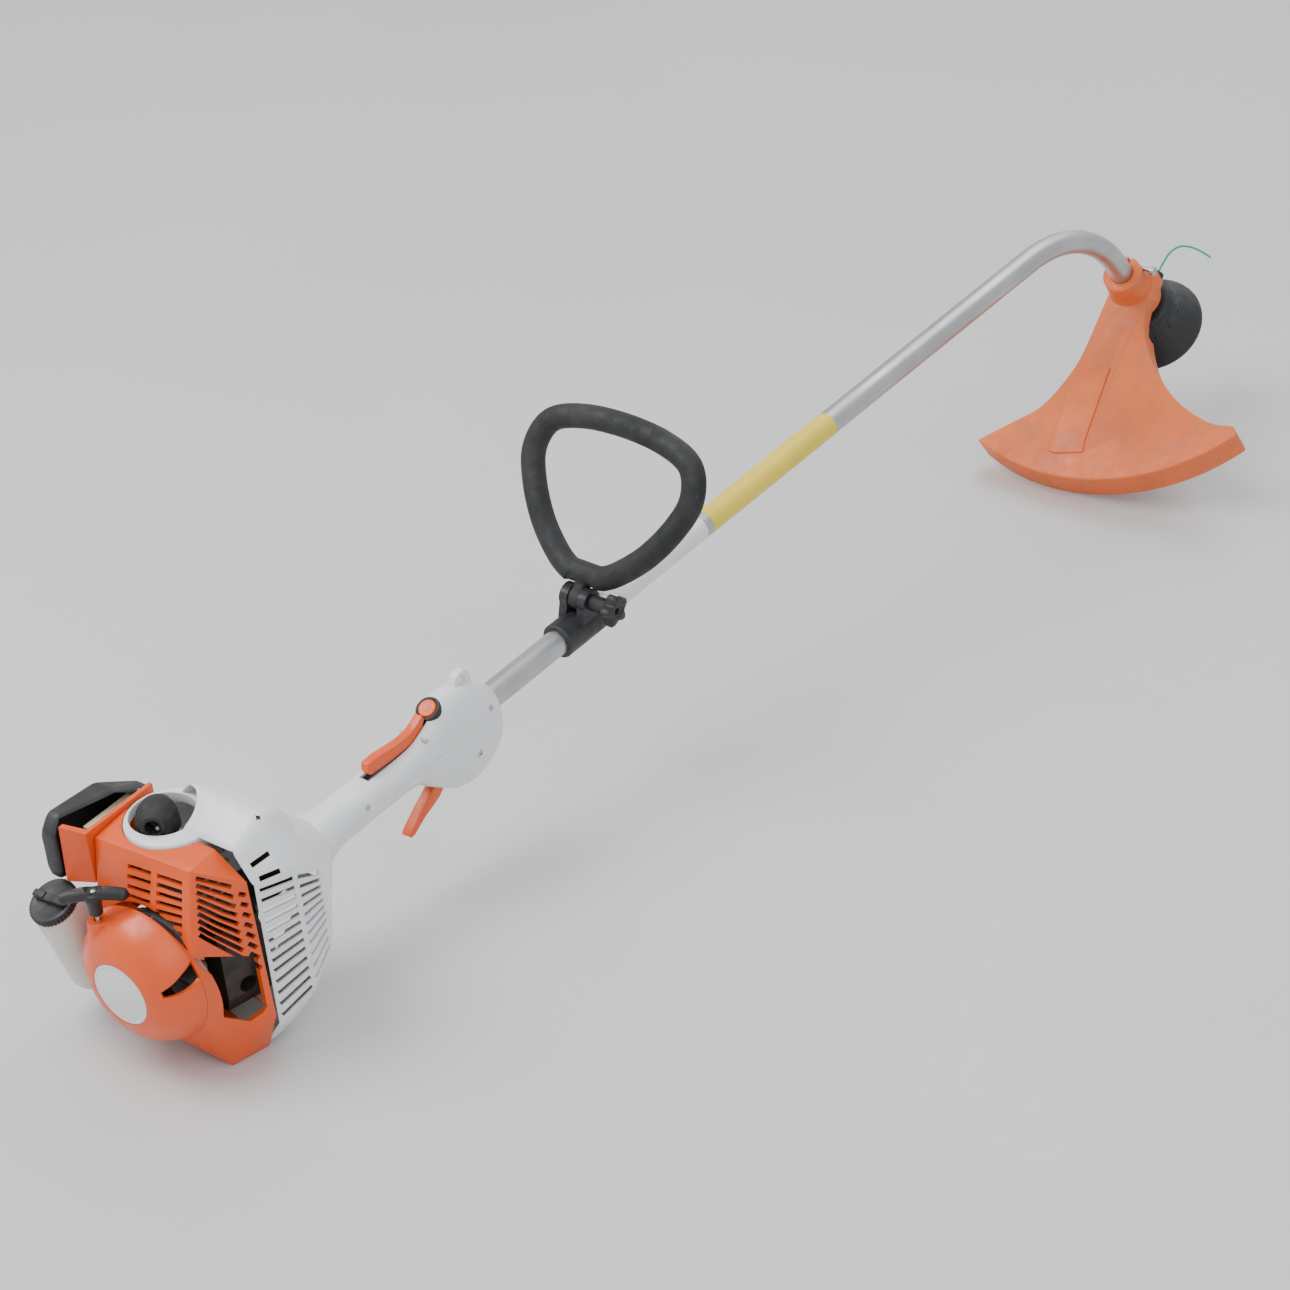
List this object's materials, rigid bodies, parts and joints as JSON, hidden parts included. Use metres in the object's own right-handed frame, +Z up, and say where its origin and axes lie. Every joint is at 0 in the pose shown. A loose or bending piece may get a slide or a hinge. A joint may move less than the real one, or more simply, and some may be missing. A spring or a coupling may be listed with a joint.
{
  "type": "brush cutter",
  "caption": "Curved-shaft petrol brush cutter with a rear control handle, a loop handle, a line head and a deflector.",
  "frame": {"origin": "middle of the footprint, on the floor that the machine lies on", "axes": "+X from the engine towards the cutting head, +Y to the operator's left, +Z up"},
  "size_m": [1.7154, 0.3192, 0.3684],
  "materials": {
    "orange": "moulded, satin gloss",
    "light_plastic": "moulded, fine texture",
    "light_panel": "smooth printed disc, blank",
    "black_plastic": "fine moulded grain",
    "rubber": "dull",
    "steel": "plated",
    "dark_steel": "heat darkened",
    "aluminium": "machined",
    "tube_aluminium": "drawn, dulled by weather",
    "cast_metal": "as cast",
    "tank_plastic": "translucent, milky",
    "felt": "felt",
    "rope": "braided",
    "nylon": "clear nylon line"
  },
  "bodies": {
    "machine": {"starter_housing": "orange", "badge_plate": "light_panel", "recoil_spring": "steel", "engine_cover": "orange", "engine_shroud": "light_plastic", "crankcase": "cast_metal", "rear_bearing": "steel", "front_bearing": "steel", "cylinder": "cast_metal", "piston": "aluminium", "piston_pin": "steel", "connecting_rod": "steel", "spark_plug": "steel", "plug_boot": "rubber", "ignition_coil": "black_plastic", "drum_bearing": "steel", "clutch_bell": "black_plastic", "shaft_tube": "tube_aluminium", "shaft_liner": "black_plastic", "flexible_shaft_bend": "steel", "silencer": "dark_steel", "intake_spacer": "black_plastic", "carburettor": "cast_metal", "filter_base": "orange", "filter_element": "felt", "fuel_tank": "tank_plastic", "handle_upper_shell": "light_plastic", "handle_lower_shell": "light_plastic", "switch_collar": "black_plastic", "lockout_pin": "steel", "trigger_pin": "steel", "throttle_cable": "rubber", "deflector": "orange", "deflector_screw": "steel", "line_cutter": "steel", "head_bush": "steel"},
    "starter_pulley": {"starter_pulley": "black_plastic"},
    "starter_grip": {"starter_grip": "black_plastic", "starter_rope": "rope"},
    "crank": {"crankshaft": "steel", "fan_wheel": "cast_metal", "clutch_shoes": "steel"},
    "drive": {"clutch_drum": "steel", "flexible_shaft": "steel"},
    "head": {"head_spindle": "steel", "head_housing": "black_plastic", "cutting_line": "nylon"},
    "spool": {"line_spool": "black_plastic", "wound_line": "nylon", "spool_cap": "black_plastic"},
    "fuel_cap": {"fuel_cap": "black_plastic"},
    "filter_cover": {"filter_cover": "black_plastic"},
    "throttle_trigger": {"throttle_trigger": "orange"},
    "lockout_lever": {"lockout_lever": "orange"},
    "stop_button": {"stop_button": "orange"},
    "loop_clamp": {"clamp_left_half": "black_plastic", "clamp_right_half": "black_plastic", "clamp_bolt": "steel"},
    "loop_handle": {"loop_handle": "rubber"},
    "clamp_knob": {"clamp_knob": "black_plastic"}
  },
  "joints": [
    {"name": "starter_pull", "type": "slide", "parent": "machine", "child": "starter_grip", "axis": [-0.1444, 0, 0.9895], "range_m": [0, 0.6], "stiffness_N_per_m": 6, "springref_m": -0.5, "deforming": ["starter_rope"]},
    {"name": "pulley_turn", "type": "hinge", "parent": "machine", "child": "starter_pulley", "pos_m": [-0.82256, 0.04164, 0.08874], "axis": [0.9895, 0, 0.1444], "range_deg": [0, 1150]},
    {"name": "crank_spin", "type": "hinge", "parent": "machine", "child": "crank", "pos_m": [-0.78199, 0.04164, 0.09466], "axis": [0.9895, 0, 0.1444], "continuous": true},
    {"name": "drive_spin", "type": "hinge", "parent": "machine", "child": "drive", "pos_m": [-0.69293, 0.04164, 0.10765], "axis": [0.9895, 0, 0.1444], "continuous": true},
    {"name": "head_spin", "type": "hinge", "parent": "machine", "child": "head", "pos_m": [0.76427, 0.04164, 0.17614], "axis": [0.6508, 0, -0.7593], "continuous": true},
    {"name": "bump_feed", "type": "slide", "parent": "head", "child": "spool", "axis": [-0.6508, 0, 0.7593], "range_m": [0, 0.004], "stiffness_N_per_m": 2500, "springref_m": -0.004},
    {"name": "fuel_cap_turn", "type": "hinge", "parent": "machine", "child": "fuel_cap", "pos_m": [-0.8214, 0.13364, 0.12933], "axis": [-0.5311, 0.101, 0.8413], "range_deg": [0, 180]},
    {"name": "filter_cover_off", "type": "slide", "parent": "machine", "child": "filter_cover", "axis": [0, 1, 0], "range_m": [0, 0.06]},
    {"name": "throttle_squeeze", "type": "hinge", "parent": "machine", "child": "throttle_trigger", "pos_m": [-0.42509, 0.04164, 0.11439], "axis": [0, 1, 0], "range_deg": [0, 16], "stiffness_Nm_per_rad": 1.2, "springref_deg": -8.59},
    {"name": "lockout_press", "type": "hinge", "parent": "machine", "child": "lockout_lever", "pos_m": [-0.46052, 0.04164, 0.16329], "axis": [0, -1, 0], "range_deg": [0, 5], "stiffness_Nm_per_rad": 1.5, "springref_deg": -8.59},
    {"name": "stop_press", "type": "slide", "parent": "machine", "child": "stop_button", "axis": [0.6198, 0, -0.7848], "range_m": [0, 0.0025], "stiffness_N_per_m": 600, "springref_m": -0.002},
    {"name": "clamp_slide", "type": "slide", "parent": "machine", "child": "loop_clamp", "axis": [0.9895, 0, 0.1444], "range_m": [-0.08, 0.3]},
    {"name": "loop_tilt", "type": "hinge", "parent": "loop_clamp", "child": "loop_handle", "pos_m": [-0.222, 0.04164, 0.20465], "axis": [0, 1, 0], "range_deg": [-35, 20]},
    {"name": "knob_turn", "type": "hinge", "parent": "loop_clamp", "child": "clamp_knob", "pos_m": [-0.222, 0.01164, 0.20465], "axis": [0, -1, 0], "range_deg": [0, 360]}
  ],
  "couplings": [
    {"joint": "pulley_turn", "follows": "starter_pull", "rad_per_m": 31.25},
    {"joint": "drive_spin", "follows": "head_spin", "ratio": 1}
  ]
}
